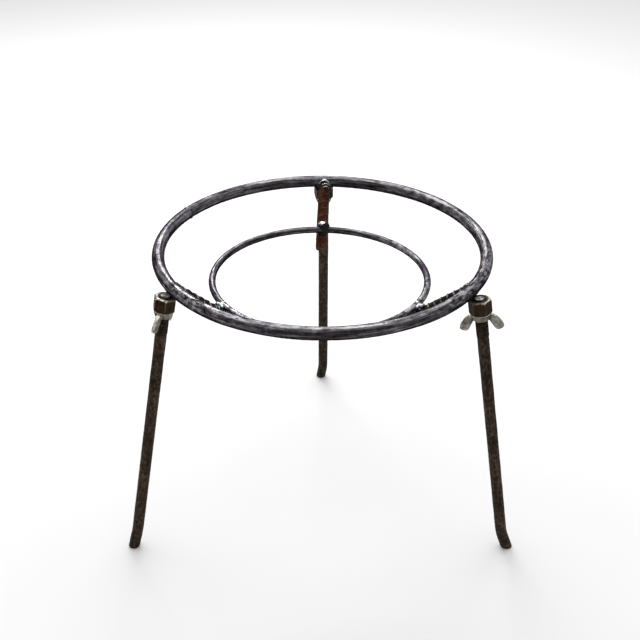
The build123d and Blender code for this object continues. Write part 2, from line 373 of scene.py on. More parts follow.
def scale_steel(name, bar_radius, seed):
    """Drawn round bar under thin dark scale: worn bright in streaks along the top, with painted shade making it
    brown-black below.
    """
    t = Tree(name)
    p = t.moved(t.attr("bar", "Vector"), (seed, 0.0, 0.0))
    up = t.math("MULTIPLY", t.xyz(t.attr("bar", "Vector"))[2], 1000.0 / bar_radius)
    streak = t.noise(t.scaled(p, (38.0, 620.0, 620.0)), detail=5, rough=0.62, distort=0.25)
    long_ = t.noise(t.scaled(p, (14.0, 260.0, 260.0)), detail=3, rough=0.5)
    mottle = t.noise(t.scaled(p, (150.0, 260.0, 260.0)), detail=5, rough=0.6)
    cloud = t.noise(t.scaled(p, (22.0, 60.0, 60.0)), detail=3, rough=0.5)
    fine = t.noise(t.scaled(p, (700.0, 1500.0, 1500.0)), detail=3, rough=0.6)
    pit = t.remap(t.noise(t.scaled(p, (190.0, 230.0, 230.0)), detail=2, rough=0.5), 0.70, 0.75)
    heat = t.attr("heat")
    polish = t.attr("polish")
    rub = t.attr("rub")
    # how worn: more on top, in streaks, less where the steel was heated
    w = t.math("ADD", t.math("MULTIPLY", up, 0.13), t.math("MULTIPLY", streak, 0.95))
    w = t.math("ADD", w, t.math("MULTIPLY", long_, 0.45))
    w = t.math("ADD", w, t.math("MULTIPLY", mottle, 0.42))
    w = t.math("ADD", w, t.math("MULTIPLY", cloud, 0.26))
    w = t.math("SUBTRACT", w, 0.385)
    w = t.math("ADD", w, t.math("MULTIPLY", rub, t.math("MULTIPLY", t.math("SUBTRACT", mottle, 0.44), 1.6)))
    w = t.math("SUBTRACT", w, t.math("MULTIPLY", heat, 0.26))
    base = t.ramp(w, (0.36, (0.0055, 0.0038, 0.0034)), (0.54, (0.0200, 0.0165, 0.0175)),
                  (0.67, (0.054, 0.049, 0.056)), (0.80, (0.125, 0.119, 0.131)), (0.98, (0.330, 0.325, 0.335)))
    rust = t.remap(t.noise(t.scaled(p, (90.0, 210.0, 210.0)), detail=6, rough=0.7), 0.56, 0.70)
    rust = t.math("MULTIPLY", rust, t.remap(up, 0.45, -0.5), clamp=True)
    base = t.mix(t.math("MULTIPLY", rust, 0.7), base, (0.026, 0.0115, 0.0065))
    # painted shade: darker towards the bottom of the bar, down to brown-black
    base = t.mix(t.remap(up, 0.0, -0.85, 0.0, 0.75), base, (0.0135, 0.0088, 0.0070))
    base = t.mix(t.math("MULTIPLY", heat, 0.80, clamp=True), base, (0.0085, 0.0075, 0.0100))
    base = t.mix(t.math("MULTIPLY", pit, 0.85), base, (0.003, 0.0025, 0.0025))
    rough = t.math("ADD", t.remap(w, 0.40, 0.85, 0.50, 0.25), t.math("MULTIPLY", t.math("SUBTRACT", fine, 0.5), 0.16))
    rough = t.math("ADD", rough, t.math("MULTIPLY", t.math("SUBTRACT", 1.0, polish), 0.16))
    rough = t.math("ADD", rough, t.math("MULTIPLY", heat, 0.20))
    rough = t.math("ADD", rough, t.math("MULTIPLY", rust, 0.3), clamp=True)
    metal = t.remap(w, 0.38, 0.62, 0.75, 1.0)
    h = t.math("ADD", t.math("MULTIPLY", streak, 0.5), t.math("MULTIPLY", mottle, 0.7))
    h = t.math("SUBTRACT", h, t.math("MULTIPLY", pit, 0.5))
    n = t.bump(h, 0.45, 0.00035)
    n = t.bump(fine, 0.25, 0.00012, n)
    return t.finish(Base_Color=base, Roughness=rough, Metallic=metal, Normal=n, Specular_IOR_Level=0.10, Specular_Tint=(0.30, 0.28, 0.29, 1.0))


def rod_steel(name):
    """Plain rod, near black with a brown cast, faint rust specks and thread crests rubbed lighter."""
    t = Tree(name)
    p = t.attr("bar", "Vector")
    wear_and_painted_light = t.attr("wear_and_painted_light")
    mottle = t.noise(t.scaled(p, (260.0, 330.0, 330.0)), detail=6, rough=0.68)
    cloud = t.noise(t.scaled(p, (28.0, 70.0, 70.0)), detail=3)
    streak = t.noise(t.scaled(p, (45.0, 560.0, 560.0)), detail=4)
    speck = t.noise(t.scaled(p, (900.0, 1000.0, 1000.0)), detail=3, rough=0.7)
    v = t.math("ADD", t.math("MULTIPLY", mottle, 0.55), t.math("MULTIPLY", cloud, 0.25))
    v = t.math("ADD", v, t.math("MULTIPLY", streak, 0.20))
    base = t.ramp(v, (0.38, (0.0070, 0.0050, 0.0033)), (0.48, (0.0240, 0.0164, 0.0104)),
                  (0.56, (0.0640, 0.0460, 0.0300)), (0.68, (0.1450, 0.1110, 0.0780)))
    rust = t.remap(t.noise(t.moved(t.scaled(p, (140.0, 240.0, 240.0)), (7.0, 3.0, 1.0)), detail=6, rough=0.72), 0.55, 0.68)
    base = t.mix(t.math("MULTIPLY", rust, 0.5), base, (0.055, 0.024, 0.0100))
    base = t.mix(t.math("MULTIPLY", wear_and_painted_light, 0.75, clamp=True), base, (0.20, 0.185, 0.17))
    # sawn end, left bare
    end = t.remap(wear_and_painted_light, 0.95, 1.08)
    silver = t.ramp(mottle, (0.42, (0.14, 0.14, 0.15)), (0.52, (0.66, 0.65, 0.66)), (0.60, (0.92, 0.91, 0.90)))
    base = t.mix(end, base, silver)
    metal = t.math("ADD", 0.25, t.math("MULTIPLY", wear_and_painted_light, 0.7), clamp=True)
    rough = t.math("ADD", t.math("SUBTRACT", t.remap(speck, 0.3, 0.7, 0.48, 0.68), t.math("MULTIPLY", wear_and_painted_light, 0.2)), t.math("MULTIPLY", rust, 0.15), clamp=True)
    rough = t.math("ADD", rough, t.math("MULTIPLY", end, 0.28), clamp=True)
    metal = t.math("SUBTRACT", metal, t.math("MULTIPLY", end, 0.35), clamp=True)
    n = t.bump(t.math("ADD", mottle, t.math("MULTIPLY", speck, 0.4)), 0.6, 0.0003)
    return t.finish(Base_Color=base, Roughness=rough, Metallic=metal, Normal=n, Specular_IOR_Level=0.12, Specular_Tint=(0.5, 0.45, 0.4, 1.0))


def rebar_rust(name, rust_amount, rub):
    """Ribbed bar with a coat of rust over dark scale; rib tops rubbed."""
    t = Tree(name)
    p = t.attr("bar", "Vector")
    wear_and_painted_light = t.attr("wear_and_painted_light")
    a = t.noise(t.scaled(p, (130.0, 170.0, 170.0)), detail=7, rough=0.7)
    b = t.noise(t.scaled(p, (520.0, 620.0, 620.0)), detail=4, rough=0.7)
    c = t.noise(t.moved(t.scaled(p, (35.0, 60.0, 60.0)), (3.0, 9.0, 2.0)), detail=3)
    v = t.math("ADD", t.math("MULTIPLY", a, 0.6), t.math("MULTIPLY", b, 0.4))
    rust = t.ramp(v, (0.34, (0.0140, 0.0056, 0.0034)), (0.50, (0.0640, 0.0235, 0.0135)), (0.66, (0.1600, 0.0620, 0.0340)))
    scale = t.ramp(v, (0.36, (0.0035, 0.0036, 0.0026)), (0.52, (0.0125, 0.0128, 0.0090)), (0.70, (0.0420, 0.0415, 0.0320)))
    k = t.remap(t.math("ADD", c, rust_amount), 0.72, 1.02)
    base = t.mix(k, scale, rust)
    base = t.mix(t.math("MULTIPLY", wear_and_painted_light, rub, clamp=True), base, (0.34, 0.33, 0.29))
    rough = t.remap(b, 0.3, 0.7, 0.62, 0.86)
    n = t.bump(v, 0.7, 0.00045)
    return t.finish(Base_Color=base, Roughness=rough, Metallic=0.25, Normal=n, Specular_IOR_Level=0.10, Specular_Tint=(0.4, 0.3, 0.25, 1.0))


def nut_steel(name):
    """Brown rusted hexagon nut with the turned corners and edges lighter: rubbed bright, with a painted highlight on
    the top face's rim and chamfer.
    """
    t = Tree(name)
    p = t.attr("bar", "Vector")
    wear_and_painted_light = t.attr("wear_and_painted_light")
    a = t.noise(t.scaled(p, (190.0, 190.0, 110.0)), detail=6, rough=0.66)
    b = t.noise(t.scaled(p, (760.0, 760.0, 520.0)), detail=4, rough=0.7)
    c = t.noise(t.moved(t.scaled(p, (70.0, 70.0, 50.0)), (4.0, 1.0, 8.0)), detail=3)
    v = t.math("ADD", t.math("MULTIPLY", a, 0.62), t.math("MULTIPLY", b, 0.38))
    base = t.ramp(v, (0.33, (0.0060, 0.0034, 0.0021)), (0.47, (0.0210, 0.0120, 0.0068)),
                  (0.58, (0.0480, 0.0270, 0.0135)), (0.72, (0.1000, 0.0600, 0.0290)))
    base = t.mix(t.remap(c, 0.50, 0.72, 0.0, 0.6), base, (0.0360, 0.0215, 0.0082))
    heat = t.attr("heat")
    base = t.mix(t.math("MULTIPLY", heat, 0.9, clamp=True), base, (0.0030, 0.0024, 0.0022))
    # lighter where rubbed, and as painted highlight on the rims
    k = t.math("MULTIPLY", wear_and_painted_light, t.remap(b, 0.30, 0.52, 0.55, 1.0), clamp=True)
    k = t.math("MULTIPLY", k, t.math("SUBTRACT", 1.0, t.math("MULTIPLY", heat, 0.85)), clamp=True)
    base = t.mix(k, base, (0.62, 0.58, 0.52))
    metal = t.math("ADD", 0.35, t.math("MULTIPLY", k, 0.65), clamp=True)
    rough = t.math("SUBTRACT", t.remap(b, 0.3, 0.7, 0.46, 0.66), t.math("MULTIPLY", k, 0.18), clamp=True)
    n = t.bump(v, 0.5, 0.0003)
    return t.finish(Base_Color=base, Roughness=rough, Metallic=metal, Normal=n, Specular_IOR_Level=0.12, Specular_Tint=(0.45, 0.35, 0.25, 1.0))


def zinc(name):
    """Dull plated casting, grey with a straw cast, with painted shade darkening its hollows, grimy at the edges, and a
    painted highlight on its rims.
    """
    t = Tree(name)
    p = t.attr("bar", "Vector")
    wear_and_painted_light = t.attr("wear_and_painted_light")
    a = t.noise(t.scaled(p, (160.0, 160.0, 160.0)), detail=5, rough=0.6)
    b = t.noise(t.scaled(p, (800.0, 800.0, 800.0)), detail=3, rough=0.65)
    c = t.noise(t.moved(t.scaled(p, (60.0, 60.0, 60.0)), (1.0, 5.0, 2.0)), detail=2)
    base = t.ramp(a, (0.32, (0.130, 0.122, 0.102)), (0.50, (0.285, 0.272, 0.235)), (0.66, (0.520, 0.505, 0.455)))
    base = t.mix(t.remap(c, 0.48, 0.70, 0.0, 0.5), base, (0.160, 0.132, 0.074))
    # grime in patches, more where painted shade darkens the corners and less under the painted highlight
    grime_and_shade = t.remap(t.math("SUBTRACT", b, t.math("MULTIPLY", wear_and_painted_light, 0.5)), 0.30, 0.62, 0.0, 0.35)
    base = t.mix(grime_and_shade, base, (0.040, 0.036, 0.026))
    # painted highlight on the rims and crowns, then painted shade in the corners and on the hub's sides
    base = t.mix(t.remap(wear_and_painted_light, 0.38, 0.95, 0.0, 0.92), base, (0.80, 0.78, 0.70))
    base = t.mix(t.remap(wear_and_painted_light, 0.0, -1.0, 0.0, 0.85), base, (0.022, 0.020, 0.014))
    rough = t.math("ADD", t.remap(a, 0.3, 0.7, 0.44, 0.34), t.math("MULTIPLY", grime_and_shade, 0.4), clamp=True)
    n = t.bump(t.math("ADD", a, t.math("MULTIPLY", b, 0.5)), 0.35, 0.00025)
    return t.finish(Base_Color=base, Roughness=rough, Metallic=0.85, Normal=n, Specular_IOR_Level=0.2, Specular_Tint=(0.6, 0.58, 0.52, 1.0))


def weld_steel(name, bright):
    """Arc weld: bead crowns with a blue and straw tint lit by a painted highlight, dark in the ripples and at the toes
    as painted shade.
    """
    t = Tree(name)
    p = t.attr("bar", "Vector")
    wear_and_painted_light = t.attr("wear_and_painted_light")
    a = t.noise(t.scaled(p, (330.0, 330.0, 330.0)), detail=5, rough=0.6)
    b = t.noise(t.scaled(p, (1100.0, 1100.0, 1100.0)), detail=3, rough=0.65)
    c = t.noise(t.moved(t.scaled(p, (120.0, 120.0, 120.0)), (2.0, 5.0, 9.0)), detail=2)
    k = t.math("ADD", wear_and_painted_light, t.math("MULTIPLY", t.math("SUBTRACT", a, 0.5), 1.1))
    dark = t.ramp(a, (0.3, (0.0045, 0.0045, 0.0050)), (0.6, (0.0200, 0.0190, 0.0200)), (0.8, (0.0500, 0.0450, 0.0420)))
    tint = t.ramp(c, (0.36, (0.27, 0.37, 0.40)), (0.52, (0.52, 0.55, 0.59)), (0.68, (0.46, 0.43, 0.36)))
    base = t.mix(t.math("MULTIPLY", t.remap(k, 0.25, 0.75), bright, clamp=True), dark, tint)
    metal = t.remap(k, 0.2, 0.6, 0.5, 1.0)
    rough = t.remap(k, 0.2, 0.8, 0.55, 0.24)
    n = t.bump(t.math("ADD", a, t.math("MULTIPLY", b, 0.4)), 0.4, 0.0002)
    return t.finish(Base_Color=base, Roughness=rough, Metallic=metal, Normal=n, Specular_IOR_Level=0.15)


MAT = {
    "outer": scale_steel("outer_ring_steel", 6.0, 0.0),
    "inner": scale_steel("inner_ring_steel", 3.35, 3.7),
    "rod": rod_steel("leg_rod_steel"),
    "spoke_back": rebar_rust("ribbed_bar_rusty", 0.55, 0.04),
    "spoke_side": rebar_rust("ribbed_bar_scale", 0.14, 0.95),
    "nut": nut_steel("hex_nut_steel"),
    "zinc": zinc("plated_wing_nut"),
    "weld": weld_steel("weld_bright", 1.0),
    "weld_dark": weld_steel("weld_sooty", 0.12),
}


def place(ob, mat, body, node):
    ob.data.materials.clear()
    ob.data.materials.append(mat)
    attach(ob, body)
    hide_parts(node)
    return ob


# ---------------------------------------------------------------- spots that the welder heated
HOT = []
for key, d in LEG.items():
    out_, tan_ = axes(d["az"])
    far, high, side, size = {"back": (-1.0, -3.0, 0.0, 9.5), "left": (3.5, -5.0, 0.0, 10.0), "right": (0.0, -1.0, 0.0, 7.5)}[key]
    HOT.append((out_ * (RING_R + far) + tan_ * side + np.array([0, 0, RING_Z + high]), size))
    fr = spoke_frame(d)
    HOT.append((out_ * fr[6] + np.array([0, 0, INNER_Z]), 7.0))


def heat(P):
    h = np.zeros(P.shape[:-1])
    for c, r in HOT:
        h = np.maximum(h, np.exp(-((np.linalg.norm(P - c, axis=-1) / r) ** 2)))
    return h


# ---------------------------------------------------------------- rings
def ring_piece(name, R, r, cx, cz, seam, rows, cols, seed, wobble):
    """A bar rolled into a ring, a hair out of round, cut square at the seam where the butt weld joins it."""
    gap = math.radians(seam) + 1.3 / R
    az = gap + np.linspace(0, 2 * math.pi - 2.6 / R, rows)
    ph = np.linspace(0, 2 * math.pi, cols, endpoint=False)
    A, F = np.meshgrid(az, ph, indexing="ij")
    rng = np.random.default_rng(seed)
    dr = sum(wobble * rng.normal() * np.cos(k * A + rng.uniform(0, 6.28)) / k for k in (2, 3, 5, 7))
    dz = sum(0.5 * wobble * rng.normal() * np.cos(k * A + rng.uniform(0, 6.28)) / k for k in (2, 3, 4, 6))
    c = np.stack([R * A, r * np.cos(F), r * np.sin(F)], -1)
    rr = r * (1 + 0.006 * lumps(c, waves(seed + 1, 18, 3 * r, 12 * r))) + 0.030 * lumps(c, waves(seed + 2, 30, 1.8, 7.0))
    rr = rr - 0.05 * smooth01((lumps(c, waves(seed + 3, 26, 5.0, 16.0)) - 1.3) / 0.9)       # dents in the scale
    out = np.stack([np.cos(A), np.sin(A), 0 * A], -1)
    P = out * (R + dr + rr * np.cos(F))[..., None] + np.array([cx, 0, cz])
    P[..., 2] += dz + rr * np.sin(F)
    bar = np.stack([R * (A - gap), rr * np.cos(F), rr * np.sin(F)], -1)
    polish = 0.5 + 0.5 * np.cos(A - math.radians(192.0))
    deg = np.degrees(A) % 360.0
    rub = sum(k * np.exp(-((deg - m) / wd) ** 2) for k, m, wd in ((1.0, 222.0, 13.0), (0.22, 255.0, 20.0), (0.45, 40.0, 16.0), (0.75, 325.0, 13.0), (0.5, 350.0, 16.0))) * smooth01(0.5 + np.sin(F))
    v, q, t = capped(P)
    return make(name, v, q, t, bar=along_caps(bar), values={"heat": along_caps(heat(P)), "polish": along_caps(polish), "rub": along_caps(rub)})


outer = ring_piece("outer_ring_bar", RING_R, RING_BAR, 0.0, RING_Z, 151.0, 780, 44, 11, 0.10)
place(outer, MAT["outer"], "frame", "outer_ring")
inner = ring_piece("inner_ring_bar", INNER_R, INNER_BAR, INNER_X, INNER_Z, 268.0, 620, 32, 23, 0.08)
place(inner, MAT["inner"], "frame", "inner_ring")


# ---------------------------------------------------------------- spokes of ribbed bar
def spoke_piece(name, d, seed):
    o, x, y, z, rest, length, r_in = spoke_frame(d)
    s = np.concatenate([np.arange(4.6, length - 1.6, 0.36), [length - 1.6]])
    ph = np.linspace(0, 2 * math.pi, 72, endpoint=False)
    S, F = np.meshgrid(s, ph, indexing="ij")
    c = np.stack([S, 5.8 * np.cos(F), 5.8 * np.sin(F)], -1)
    # crescent ribs on two halves, slanted opposite ways, between two fins along the bar
    half = np.where(np.sin(F) >= 0, 1.0, -1.0)
    u = np.abs(np.sin(F))                                       # 0 at the fins, 1 at mid rib
    phase = ((S - 11.0 + half * 2.1 * np.cos(F) + (half < 0) * 0.6) / 8.0 + 0.5) % 1.0 - 0.5
    rib = np.exp(-((phase * 8.0) / 0.92) ** 4) * smooth01((u - 0.10) / 0.55) ** 0.7
    fin = np.exp(-((np.abs(np.cos(F)) - 1.0) / 0.028) ** 2) * (0.55 + 0.1 * np.sin(S * 1.9))
    start = smooth01((S - 7.5) / 2.5)
    end = 1 - smooth01((S - (length - 3.4)) / 1.6)
    rr = 5.78 + (0.66 * rib + 0.40 * fin) * start * (0.25 + 0.75 * end)
    rr += 0.045 * lumps(c, waves(seed, 30, 1.3, 6.0)) + 0.05 * lumps(c, waves(seed + 1, 14, 8.0, 30.0))
    wear_and_painted_light = rib * start * smooth01(0.62 + 0.6 * lumps(c, waves(seed + 2, 20, 2.0, 7.0)))
    rows = [(S[i], rr[i]) for i in range(len(s))]
    # cropped end, burred and rounded over
    for k, (ds, dr) in enumerate(((0.55, 0.10), (1.0, 0.38), (1.3, 0.85), (1.5, 1.6), (1.6, 3.2))):
        f = ph
        tilt = 0.25 * np.cos(f - 1.0)
        rows.append((np.full(72, length - 1.6 + ds) + tilt * 0.6 * ds, rr[-1] - dr))
    SS = np.array([a for a, _ in rows])
    RR = np.array([b for _, b in rows])
    FF = np.repeat(ph[None], len(rows), 0)
    L = np.stack([SS, RR * np.cos(FF), RR * np.sin(FF)], -1)
    P = o + SS[..., None] * z + L[..., 1:2] * x + L[..., 2:3] * y
    wear_and_painted_light = np.vstack([wear_and_painted_light, np.zeros((5, 72))])
    v, q, t = capped(P)
    return make(name, v, q, t, bar=along_caps(L), values={"wear_and_painted_light": along_caps(wear_and_painted_light)}, sharp=50.0)


for key, d in LEG.items():
    ob = spoke_piece(f"spoke_{key}_ribbed_bar", d, 100 + len(key))
    place(ob, MAT["spoke_back"] if key == "back" else MAT["spoke_side"], "frame", f"spoke_{key}")


# ---------------------------------------------------------------- thread profile
def thread(phase, flank=0.30, crest=0.16):
    """0 at the root and 1 at the crest of a rounded 60 degree thread; phase runs from 0 to 1 over a pitch."""
    d = np.abs(((phase + 0.5) % 1.0) - 0.5)                     # 0 at the crest's middle, 0.5 at the root's
    return smooth01(1 - (d - crest / 2) / flank) * 0.55 + 0.45 * np.clip(1 - (d - crest / 2) / flank, 0, 1)


HAND = -1.0      # sense of the helix in the local frames, whose z points down: right-handed as seen on a bench


# ---------------------------------------------------------------- legs
def leg_piece(name, d, seed):
    o, x, y, z = leg_frame(d)
    bent, extra, heading = d["foot"]
    reach = o[2] / -z[2]
    start = reach - bent
    phi = math.radians(extra)
    R = bent * 0.55 / phi
    ch, sh = math.cos(math.radians(heading)), math.sin(math.radians(heading))
    side = ch * x + sh * y
    cols = 72
    f = np.linspace(0, 2 * math.pi, cols, endpoint=False)
    rows, wear_and_painted_light = [], []

    def centre(s):
        """Centre point, tangent and in-plane direction of the rod's axis at arc length s."""
        if s <= start:
            return o + z * s, z, side
        a = (s - start) / R
        if a <= phi:
            return o + z * (start + R * math.sin(a)) + side * R * (1 - math.cos(a)), z * math.cos(a) + side * math.sin(a), side * math.cos(a) - z * math.sin(a)
        e = s - start - R * phi
        tz = z * math.cos(phi) + side * math.sin(phi)
        return o + z * (start + R * math.sin(phi)) + side * R * (1 - math.cos(phi)) + tz * e, tz, side * math.cos(phi) - z * math.sin(phi)

    # thread
    s_thread = np.arange(ROD_TOP, THREAD_END + 1.2, PITCH / 15)
    w1, w2 = waves(seed, 26, 1.2, 5.0), waves(seed + 1, 16, 9.0, 40.0)
    w3 = waves(seed + 2, 24, 2.0, 8.0)
    sections = []
    for s in s_thread:
        prof = thread((s - ROD_TOP) / PITCH + HAND * f / (2 * math.pi))
        r = ROOT + (CREST - ROOT) * prof
        # 45 degree lead-in at the top end, run-out into the shank below
        r = np.minimum(r, CREST - 0.95 + (s - ROD_TOP) * 1.0)
        k = smooth01((s - (THREAD_END - 1.6)) / 2.4)
        r = r * (1 - k) + SHANK * k
        c = np.stack([np.full(cols, s), r * np.cos(f), r * np.sin(f)], -1)
        r = r + 0.022 * lumps(c, w1)
        sections.append((s, r, 0.30 * prof ** 3 * (1 - k) * smooth01(0.3 + 0.5 * lumps(c, w3))))
    # end face with its rim rounded over
    top = sections[0][1]
    lead = [(ROD_TOP + 0.02, top * 0.02, 1.15 + np.zeros(cols)), (ROD_TOP + 0.02, top * 0.40, 1.15 + np.zeros(cols)), (ROD_TOP + 0.01, top * 0.75, 1.1 + np.zeros(cols)),
            (ROD_TOP, top * 0.90, 0.9 + np.zeros(cols)), (ROD_TOP + 0.03, top * 0.972, 0.5 + np.zeros(cols))]
    s_shank = np.arange(THREAD_END + 1.6, reach - 1.0, 1.25)
    tail_end = None
    body = []
    for s in s_shank:
        c = np.stack([np.full(cols, s), SHANK * np.cos(f), SHANK * np.sin(f)], -1)
        r = SHANK + 0.040 * lumps(c, w1) + 0.045 * lumps(c, w2)
        body.append((s, r, 0.10 * smooth01(lumps(c, w3) - 0.9)))
    P, B, W = [], [], []
    for s, r, w in lead + sections + body:
        c, tz, sd = centre(float(s))
        lateral = np.cross(tz, sd)
        # angles are measured from local x, turned with the bend's plane
        xd = ch * sd - sh * lateral
        yd = sh * sd + ch * lateral
        row = c + (r * np.cos(f))[:, None] * xd + (r * np.sin(f))[:, None] * yd
        if s > reach - 14 and row[:, 2].min() < 2.2:
            break
        P.append(row)
        B.append(np.stack([np.full(cols, s), r * np.cos(f), r * np.sin(f)], -1))
        W.append(w)
        last = (s, tz, r, row, c)
    # level sole, its edge worn round
    s, tz, r, row, c = last
    rho = 1.3
    side_pts = row + tz * ((rho - row[:, 2]) / tz[2])[:, None]
    mid = c + tz * ((rho - c[2]) / tz[2])
    for th in (0, 18, 36, 54, 72, 90):
        a = math.radians(th)
        zz = rho * (1 - math.sin(a))
        k = 1 - rho * (1 - math.cos(a)) / SHANK
        pts = mid + (side_pts - mid) * k + tz * ((zz - rho) / tz[2])
        pts[:, 2] = zz
        P.append(pts)
        B.append(np.stack([np.full(cols, s + 3 + th * 0.02), r * k * np.cos(f), r * k * np.sin(f)], -1))
        W.append(np.full(cols, 0.35 * (th > 30) * (th < 90)))
    last_row = P[-1]
    P.append(last_row.mean(0) + (last_row - last_row.mean(0)) * 0.5)
    B.append(B[-1] * np.array([1, 0.5, 0.5]))
    W.append(np.full(cols, 0.05))
    P, B, W = np.array(P), np.array(B), np.array(W)
    v, q, t = capped(P)
    return make(name, v, q, t, bar=along_caps(B), values={"wear_and_painted_light": along_caps(W)}, sharp=42.0)


for key, d in LEG.items():
    ob = leg_piece(f"leg_{key}_threaded_rod", d, 200 + len(key))
    place(ob, MAT["rod"], f"leg_{key}", f"leg_{key}")


# ---------------------------------------------------------------- hexagon nuts
def hex_outline(af, turn, corner_round=0.55, per_flat=14, per_corner=6):
    """Angles and radii of a hexagon with its corners slightly rounded, and how near each point is to a corner."""
    R = af / math.sqrt(3)
    pts, near = [], []
    for k in range(6):
        a0 = math.radians(turn + 60 * k)
        corner = np.array([math.cos(a0), math.sin(a0)]) * R
        inward = -np.array([math.cos(a0), math.sin(a0)])
        cc = corner + inward * corner_round * 2 / math.sqrt(3)
        for m in range(per_corner + 1):
            b = a0 + math.radians(-30 + 60 * m / per_corner)
            pts.append(cc + corner_round * np.array([math.cos(b), math.sin(b)]))
            near.append(1.0)
        a1 = math.radians(turn + 60 * (k + 1))
        c1 = np.array([math.cos(a1), math.sin(a1)]) * (R - corner_round * 2 / math.sqrt(3))
        b = a0 + math.radians(30)
        p0, p1 = pts[-1], c1 + corner_round * np.array([math.cos(b), math.sin(b)])
        for m in range(1, per_flat):
            pts.append(p0 + (p1 - p0) * m / per_flat)
            near.append(0.0)
    return np.array(pts), np.array(near)


def nut_piece(name, d, seed):
    o, x, y, z = leg_frame(d)
    o = o + z * NUT_DROP
    pts, near = hex_outline(NUT_AF, d["nut"])
    n = len(pts)
    ang = np.arctan2(pts[:, 1], pts[:, 0])
    rad = np.hypot(pts[:, 0], pts[:, 1])
    r0 = NUT_AF / 2 * 0.95
    tan30 = math.tan(math.radians(30.0))
    depth = (rad - r0) * tan30                                   # how far down the turned corner reaches
    rings, wear_and_painted_light = [], []

    def ring(r, h, w):
        rings.append(np.stack([r * np.cos(ang), r * np.sin(ang), h + 0 * r], -1))
        wear_and_painted_light.append(w + 0 * r)

    one = np.ones(n)
    mouth = 0.75
    # up the bore with its thread, over the top face, down the side, over the bottom face
    steps = np.arange(mouth, NUT_H - mouth + 1e-6, PITCH / 12)
    for h in steps[::-1]:
        prof = thread((h + NUT_DROP - ROD_TOP) / PITCH + HAND * ang / (2 * math.pi), 0.28, 0.26)
        ring(5.10 + (6.06 - 5.10) * prof, h, 0.0)
    ring(one * 6.12, mouth * 0.8, 0.05)
    ring(one * (6.12 + mouth * 0.8), 0.10, 0.2)
    # painted highlight on the top face and its chamfer, stronger on the left nut, over edges that are also rubbed
    ring(one * (6.12 + mouth * 0.8 + 0.10), 0.0, 0.75 if "left" in name else 0.15)
    ring(one * (r0 - 1.1), 0.0, 0.95 if "left" in name else 0.25)
    ring(one * (r0 - 0.35), 0.0, 0.9)
    ring(one * r0 + 0.05, 0.05, 0.95)
    for k in (0.33, 0.66):
        ring(r0 + (rad - r0) * k, depth * k + 0.03, 0.95)
    ring(rad - 0.12, depth - 0.05, 0.95)
    ring(rad - 0.02, depth + 0.14, 0.55 + 0.3 * near)
    for k in (0.06, 0.2, 0.35, 0.5, 0.65, 0.8, 0.94):
        ring(rad, depth + 0.14 + (NUT_H - 2 * depth - 0.28) * k, (0.10 if "right" in name else 0.20) * near)
    ring(rad - 0.02, NUT_H - depth - 0.14, 0.30 + 0.2 * near)
    ring(rad - 0.12, NUT_H - depth + 0.05, 0.35)
    for k in (0.66, 0.33):
        ring(r0 + (rad - r0) * k, NUT_H - depth * k - 0.03, 0.25)
    ring(one * r0 + 0.05, NUT_H - 0.05, 0.25)
    ring(one * (r0 - 0.18), NUT_H, 0.1)
    ring(one * (6.12 + mouth * 0.8 + 0.10), NUT_H, 0.0)
    ring(one * (6.12 + mouth * 0.8), NUT_H - 0.10, 0.0)
    ring(one * 6.12, NUT_H - mouth * 0.8, 0.0)
    L = np.array(rings)
    W = np.array(wear_and_painted_light)
    w1 = waves(seed, 30, 1.5, 7.0)
    # hammered, rusted surface on the outside only
    outside = (np.hypot(L[..., 0], L[..., 1]) > r0 + 0.3)
    amount = 0.045 * lumps(L, w1) * outside
    radial = np.stack([np.cos(ang), np.sin(ang), 0 * ang], -1)[None]
    L = L + amount[..., None] * radial
    # the painted highlight is kept stronger near the top face
    W = W * smooth01(np.where(L[..., 2] < 2.2, 0.85, 0.55) + 0.38 * lumps(L, waves(seed + 1, 24, 2.0, 8.0)))
    P = o + L[..., 0:1] * x + L[..., 1:2] * y + L[..., 2:3] * z
    # painted highlight: the right nut is lighter on its side towards +x
    if "right" in name:
        W = W * (0.42 + 0.58 * smooth01((P[..., 0] - o[0] - 3.0) / 4.0))
    q = strip_quads(len(rings), n, wrap_rows=True)
    hot = np.full(W.shape, 0.95) if "back" in name else 0.9 * smooth01((P @ np.array([-math.cos(math.radians(d["az"])), -math.sin(math.radians(d["az"])), 0]) + 160.5) / 3.5) * smooth01((P[..., 2] - 268.0) / 8.0)
    return make(name, P.reshape(-1, 3), q, bar=L.reshape(-1, 3), values={"wear_and_painted_light": W.ravel(), "heat": hot.ravel()}, sharp=38.0)


for key, d in LEG.items():
    ob = nut_piece(f"socket_nut_{key}_hexagon", d, 300 + len(key))
    place(ob, MAT["nut"], "frame", f"socket_nut_{key}")


# ---------------------------------------------------------------- wing nuts
def spline(points, n):
    """Catmull-Rom points through the given ones."""
    p = np.asarray(points, float)
    p = np.vstack([2 * p[0] - p[1], p, 2 * p[-1] - p[-2]])
    out = []
    for i in range(1, len(p) - 2):
        t = np.linspace(0, 1, n, endpoint=False)[:, None]
        a, b, c, e = p[i - 1], p[i], p[i + 1], p[i + 2]
        out.append(0.5 * (2 * b + (c - a) * t + (2 * a - 5 * b + 4 * c - e) * t ** 2 + (3 * b - 3 * c + e - a) * t ** 3))
    return np.vstack(out + [p[-2][None]])


WING = [(5.2, 0.3), (8.6, 0.7), (11.8, 2.2), (15.2, 5.0), (18.2, 8.9), (20.0, 12.4), (19.7, 14.6), (17.6, 16.4),
        (14.4, 16.9), (12.0, 15.4), (10.3, 12.4), (8.6, 9.4), (7.3, 7.2), (5.2, 6.2)]


